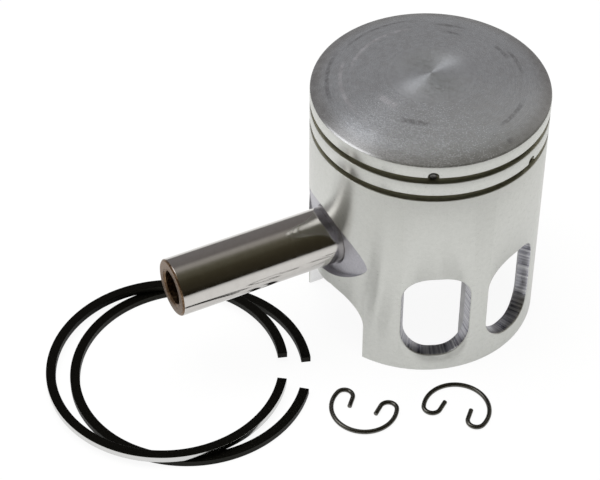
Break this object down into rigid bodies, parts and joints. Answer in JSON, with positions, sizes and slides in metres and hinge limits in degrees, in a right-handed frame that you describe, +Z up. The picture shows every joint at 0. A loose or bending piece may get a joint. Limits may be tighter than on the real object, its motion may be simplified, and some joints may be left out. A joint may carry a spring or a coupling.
{
  "type": "two-stroke piston set",
  "caption": "Domed two-stroke piston with intake windows and ring grooves, its hollow wrist pin half drawn out, sprung piston rings and wire circlips laid beside it.",
  "frame": {"origin": "centre of the crown, the piston's highest point", "axes": "+Z up along the piston's axis, out of the crown; the wrist pin lies along X and is drawn out towards -X; the intake windows face -Y"},
  "size_m": [0.09, 0.056, 0.0502],
  "materials": {
    "piston_alloy": "fine turned aluminium alloy, satin",
    "peg_steel": "plain steel pin stock",
    "chromed_ring_iron": "dark phosphated sides, bright ground outer face",
    "dark_ring_iron": "dark phosphated all over",
    "ground_pin_steel": "ground and lapped outside, plain drilled inside",
    "spring_wire": "dark drawn spring wire"
  },
  "bodies": {
    "piston": {"piston_body": "piston_alloy", "ring_peg_upper": "peg_steel", "ring_peg_lower": "peg_steel"},
    "pin": {"wrist_pin": "ground_pin_steel"},
    "top_ring": {"compression_ring_top": "chromed_ring_iron"},
    "second_ring": {"compression_ring_second": "dark_ring_iron"},
    "left_circlip": {"circlip_left": "spring_wire"},
    "right_circlip": {"circlip_right": "spring_wire"}
  },
  "joints": [
    {"name": "pin_slide", "type": "slide", "parent": "piston", "child": "pin", "axis": [1, 0, 0], "range_m": [-0.012, 0.0315]},
    {"name": "top_ring_slide", "type": "slide", "parent": "piston", "child": "top_ring", "axis": [-1, 0, 0], "range_m": [0, 0.04]},
    {"name": "second_ring_slide", "type": "slide", "parent": "piston", "child": "second_ring", "axis": [-1, 0, 0], "range_m": [0, 0.04]},
    {"name": "left_circlip_slide", "type": "slide", "parent": "piston", "child": "left_circlip", "axis": [0, -1, 0], "range_m": [0, 0.04]},
    {"name": "right_circlip_slide", "type": "slide", "parent": "piston", "child": "right_circlip", "axis": [0, -1, 0], "range_m": [0, 0.04]}
  ]
}
